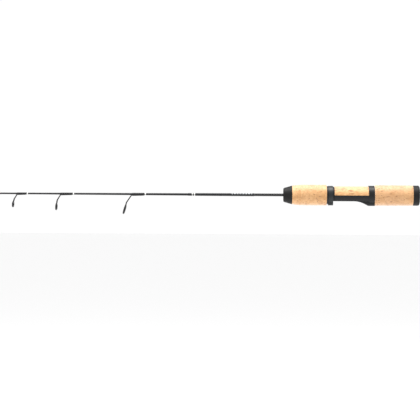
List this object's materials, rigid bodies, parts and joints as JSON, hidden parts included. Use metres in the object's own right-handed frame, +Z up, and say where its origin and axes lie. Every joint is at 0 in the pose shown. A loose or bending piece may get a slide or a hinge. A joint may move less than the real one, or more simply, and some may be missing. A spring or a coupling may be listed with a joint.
{
  "type": "ice fishing rod",
  "caption": "Short spinning rod for ice fishing: tapered blank, line guides underneath, cork grips and a screw-locking reel seat.",
  "frame": {"origin": "centre of the butt cap's end face, on the rod's axis", "axes": "+X out of the butt along the rod, tip toward -X; +Z up, with the guides and the reel's side toward -Z"},
  "size_m": [0.6096, 0.0292, 0.0428],
  "materials": {
    "cork": "natural cork, fine sanded",
    "insert_cork": "natural cork, cut along the grain",
    "seat_plastic": "satin black moulding",
    "hood_plastic": "satin graphite moulding",
    "nut_plastic": "matte black moulding",
    "cap_rubber": "matte black rubber",
    "blank_lacquer": "gloss lacquer over glass fibre",
    "label_lacquer": "clear coat over a dark sleeve",
    "thread_wrap": "black thread under clear epoxy",
    "silver_trim": "metallic thread under clear epoxy",
    "guide_black": "black coated stainless wire and band",
    "guide_ceramic": "polished black ceramic",
    "spring_steel": "spring wire",
    "arbor": "rigid foam bush"
  },
  "bodies": {
    "root": {"rear_cork_ring_1": "cork", "rear_cork_ring_2": "cork", "rear_cork_ring_3": "cork", "rear_cork_ring_4": "cork", "seat_insert": "insert_cork", "guide_large_frame": "guide_black", "guide_large_ring": "guide_ceramic", "guide_large_wrap": "thread_wrap", "guide_large_trim": "silver_trim", "guide_middle_frame": "guide_black", "guide_middle_ring": "guide_ceramic", "guide_middle_wrap": "thread_wrap", "guide_middle_trim": "silver_trim", "guide_small_frame": "guide_black", "guide_small_ring": "guide_ceramic", "guide_small_wrap": "thread_wrap", "guide_small_trim": "silver_trim", "blank": "blank_lacquer", "tip_top_frame": "guide_black", "tip_top_ring": "guide_ceramic", "tip_top_wrap": "thread_wrap", "black_wrap_front": "thread_wrap", "black_wrap_rear": "thread_wrap", "silver_trim_thin": "silver_trim", "silver_trim_wide": "silver_trim", "label_sleeve": "label_lacquer", "butt_cap": "cap_rubber", "seat_body": "seat_plastic", "seat_arbor_front": "arbor", "seat_arbor_middle": "arbor", "seat_arbor_rear": "arbor"},
    "hood": {"moving_hood": "hood_plastic", "hood_clip": "spring_steel"},
    "fore_grip": {"fore_cap": "cap_rubber", "locking_nut": "nut_plastic", "fore_cork_ring_1": "cork", "fore_cork_ring_2": "cork", "fore_cork_ring_3": "cork", "fore_cork_ring_4": "cork"}
  },
  "joints": [
    {"name": "hood_slide", "type": "slide", "parent": "root", "child": "hood", "axis": [-1, 0, 0], "range_m": [0, 0.012]},
    {"name": "nut_turn", "type": "hinge", "parent": "hood", "child": "fore_grip", "pos_m": [-0.15, 0, 0], "axis": [-1, 0, 0], "range_deg": [0, 1440]}
  ],
  "couplings": [
    {"joint": "hood_slide", "follows": "nut_turn", "m_per_rad": 0.00047746}
  ]
}
